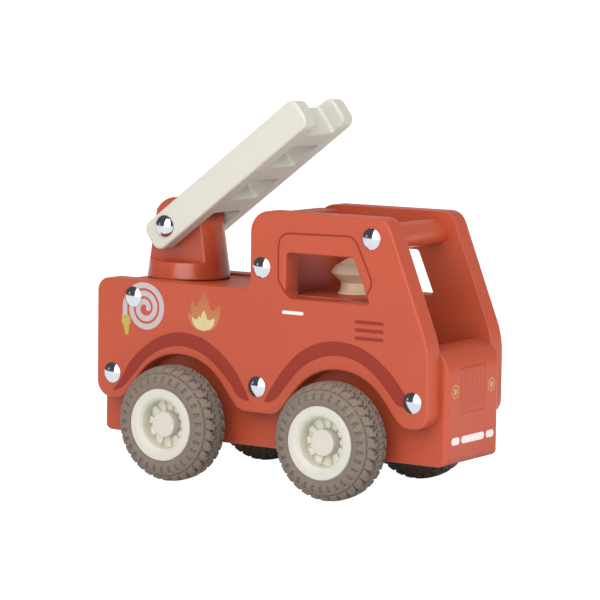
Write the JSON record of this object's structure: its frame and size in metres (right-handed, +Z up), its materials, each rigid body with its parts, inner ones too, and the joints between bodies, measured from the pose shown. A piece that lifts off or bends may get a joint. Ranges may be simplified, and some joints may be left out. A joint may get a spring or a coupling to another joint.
{
  "type": "toy fire engine",
  "caption": "Wooden toy fire engine with rolling wheels, a swivelling turret and a ladder that lifts, an open cab with a driver and a grip bar.",
  "frame": {"origin": "on the floor under the middle of the toy, midway between the axles", "axes": "+X the way it drives, +Y its left side, +Z up"},
  "size_m": [0.1936, 0.0986, 0.1807],
  "materials": {
    "red_paint": "satin red paint on wood",
    "cream_paint": "satin cream paint on wood",
    "beech": "bare oiled beech",
    "chrome": "polished",
    "steel": "bright drawn",
    "nylon": "natural",
    "tyre": "matt taupe rubber",
    "cream_plastic": "satin moulded"
  },
  "bodies": {
    "body": {"chassis_block": "red_paint", "right_panel": "red_paint", "left_panel": "red_paint", "right_panel_pins": "chrome", "left_panel_pins": "chrome", "rear_board": "red_paint", "deck_plank": "red_paint", "cab_rear_wall": "red_paint", "seat_block": "red_paint", "handle_rod": "red_paint", "driver": "beech", "front_axle_bushes": "nylon", "rear_axle_bushes": "nylon"},
    "turret": {"turret": "red_paint", "turret_spindle": "steel", "turret_washer": "steel", "turret_retainer": "steel"},
    "ladder": {"ladder": "cream_paint", "ladder_pin": "chrome", "ladder_pin_cap": "chrome", "ladder_washers": "nylon"},
    "front_wheels": {"front_axle": "steel", "front_wheel_spacers": "steel", "front_left_tyre": "tyre", "front_left_rim": "cream_plastic", "front_left_hub_cap": "cream_plastic", "front_right_tyre": "tyre", "front_right_rim": "cream_plastic", "front_right_hub_cap": "cream_plastic"},
    "rear_wheels": {"rear_axle": "steel", "rear_wheel_spacers": "steel", "rear_left_tyre": "tyre", "rear_left_rim": "cream_plastic", "rear_left_hub_cap": "cream_plastic", "rear_right_tyre": "tyre", "rear_right_rim": "cream_plastic", "rear_right_hub_cap": "cream_plastic"}
  },
  "joints": [
    {"name": "turret_swivel", "type": "hinge", "parent": "body", "child": "turret", "pos_m": [-0.0637, 0, 0.0927], "axis": [0, 0, 1], "continuous": true},
    {"name": "ladder_lift", "type": "hinge", "parent": "turret", "child": "ladder", "pos_m": [-0.0637, 0, 0.1186], "axis": [0, -1, 0], "range_deg": [-17, 122]},
    {"name": "front_wheels_spin", "type": "hinge", "parent": "body", "child": "front_wheels", "pos_m": [0.0447, 0, 0.0275], "axis": [0, 1, 0], "continuous": true},
    {"name": "rear_wheels_spin", "type": "hinge", "parent": "body", "child": "rear_wheels", "pos_m": [-0.0447, 0, 0.0275], "axis": [0, 1, 0], "continuous": true}
  ]
}
